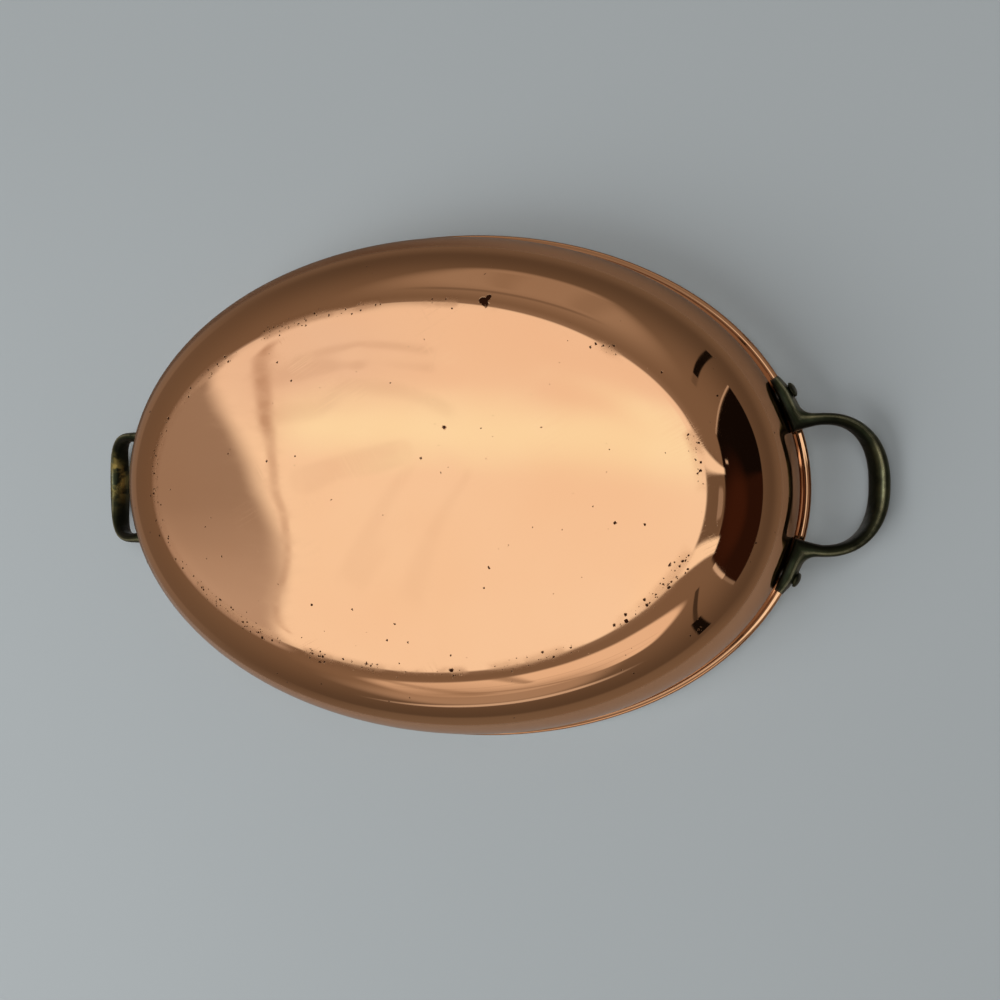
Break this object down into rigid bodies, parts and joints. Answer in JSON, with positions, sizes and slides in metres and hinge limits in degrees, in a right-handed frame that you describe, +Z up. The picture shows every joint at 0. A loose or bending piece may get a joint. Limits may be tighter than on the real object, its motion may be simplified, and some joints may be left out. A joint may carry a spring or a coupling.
{
  "type": "gratin pan",
  "caption": "Oval shallow copper gratin pan with a metal lining, a turned-out lip and a cast loop handle riveted to each end.",
  "frame": {"origin": "middle of the flat base, on the table", "axes": "+X along the oval towards the right-hand handle, +Y across the oval, +Z up towards the open top"},
  "size_m": [0.3548, 0.2094, 0.0461],
  "materials": {
    "copper": "polished copper, mirror bright, with worn and pitted spots on the base",
    "tin": "wiped tin lining, soft satin grey",
    "cast_brass": "cast brass with a dark green-brown patina, worn bright on its ridges",
    "rivet_brass": "hammered rivet heads with a dark patina"
  },
  "bodies": {
    "root": {"copper_body": "copper", "tin_lining": "tin", "handle_right": "cast_brass", "handle_left": "cast_brass", "rivet_right_back": "rivet_brass", "rivet_right_front": "rivet_brass", "rivet_left_back": "rivet_brass", "rivet_left_front": "rivet_brass"}
  },
  "joints": []
}
